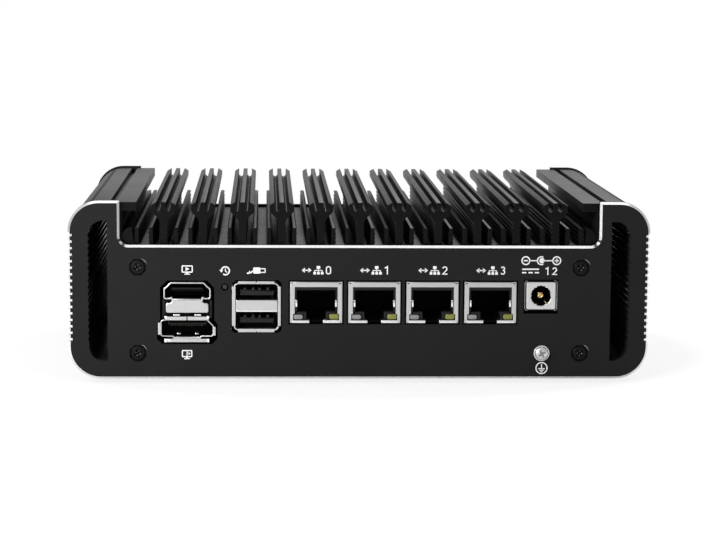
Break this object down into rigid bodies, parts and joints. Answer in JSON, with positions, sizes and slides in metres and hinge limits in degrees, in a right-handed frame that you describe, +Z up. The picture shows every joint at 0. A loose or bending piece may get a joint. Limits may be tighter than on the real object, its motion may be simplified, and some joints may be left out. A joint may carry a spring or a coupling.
{
  "type": "mini pc",
  "caption": "Fanless mini PC: finned aluminium case with scalloped sides, bevelled end panels, network, video and type A ports, power inlet and push button.",
  "frame": {"origin": "centre of the bounding box's base, on the surface that the rubber feet stand on", "axes": "+X to the right of somebody who faces the port panel, +Y away from them, +Z up"},
  "size_m": [0.178, 0.1288, 0.0562],
  "materials": {
    "anodised_case": "dark satin anodised",
    "anodised_panel": "fine satin anodised face with a bright cut bevel",
    "cover_paint": "black powder coat",
    "foot_rubber": "matte",
    "black_screw": "black oxide",
    "plated_brass": "bright turned",
    "plated_steel": "tin plated",
    "black_plastic": "moulded",
    "gold_contact": "gold plated",
    "clear_lamp": "milky clear",
    "green_lamp": "yellow-green tinted",
    "inlet_plate": "nickel plated",
    "earth_steel": "zinc plated",
    "button_metal": "spun",
    "button_plastic": "moulded",
    "circuit_board": "solder mask",
    "chip_resin": "moulded resin",
    "heat_block": "milled",
    "pad_silicone": "soft silicone",
    "cell_steel": "plain"
  },
  "bodies": {
    "case": {"activity_leds": "green_lamp", "board_screws": "black_screw", "board_standoffs": "plated_brass", "bottom_cover": "cover_paint", "capacitors": "heat_block", "case_extrusion": "anodised_case", "coin_cell": "cell_steel", "coin_cell_holder": "black_plastic", "cover_screws": "black_screw", "dc_jack_body": "black_plastic", "dc_jack_face": "inlet_plate", "dc_jack_pin": "gold_contact", "drive_post": "plated_brass", "drive_screw": "plated_steel", "drive_socket": "black_plastic", "front_stack_insulator": "black_plastic", "front_stack_shell": "plated_steel", "ground_screw": "earth_steel", "ground_washer": "earth_steel", "heat_spreader": "heat_block", "io_panel": "anodised_panel", "io_panel_screws": "black_screw", "lan_contacts": "gold_contact", "lan_insert_0": "black_plastic", "lan_insert_1": "black_plastic", "lan_insert_2": "black_plastic", "lan_insert_3": "black_plastic", "lan_shield_0": "plated_steel", "lan_shield_1": "plated_steel", "lan_shield_2": "plated_steel", "lan_shield_3": "plated_steel", "lan_transformers": "black_plastic", "link_leds": "clear_lamp", "lower_video_insulator": "black_plastic", "lower_video_shell": "plated_steel", "mainboard": "circuit_board", "memory_module": "circuit_board", "memory_socket": "black_plastic", "network_chips": "chip_resin", "power_button_bezel": "button_metal", "power_coils": "chip_resin", "power_panel": "anodised_panel", "power_panel_screws": "black_screw", "power_switch": "black_plastic", "processor": "chip_resin", "rear_stack_insulator": "black_plastic", "rear_stack_shell": "plated_steel", "recovery_switch": "black_plastic", "rubber_feet": "foot_rubber", "solid_state_drive": "circuit_board", "status_lamps": "clear_lamp", "thermal_pad": "pad_silicone", "upper_video_insulator": "black_plastic", "upper_video_shell": "plated_steel", "video_stack_bracket": "plated_steel", "video_stack_housing": "black_plastic"},
    "power_cap": {"power_button_cap": "button_metal"},
    "recovery_button": {"recovery_plunger": "button_plastic"},
    "left_latch": {"memory_latch_left": "plated_steel"},
    "right_latch": {"memory_latch_right": "plated_steel"}
  },
  "joints": [
    {"name": "power_button_press", "type": "slide", "parent": "case", "child": "power_cap", "axis": [0, -1, 0], "range_m": [0, 0.001], "stiffness_N_per_m": 1500},
    {"name": "recovery_button_press", "type": "slide", "parent": "case", "child": "recovery_button", "axis": [0, 1, 0], "range_m": [0, 0.0003], "stiffness_N_per_m": 3000},
    {"name": "left_latch_turn", "type": "hinge", "parent": "case", "child": "left_latch", "pos_m": [-0.0573, 0.0022, 0.0295], "axis": [0, 0, 1], "range_deg": [0, 6], "stiffness_Nm_per_rad": 0.05},
    {"name": "right_latch_turn", "type": "hinge", "parent": "case", "child": "right_latch", "pos_m": [0.0133, 0.0022, 0.0295], "axis": [0, 0, 1], "range_deg": [-6, 0], "stiffness_Nm_per_rad": 0.05}
  ]
}
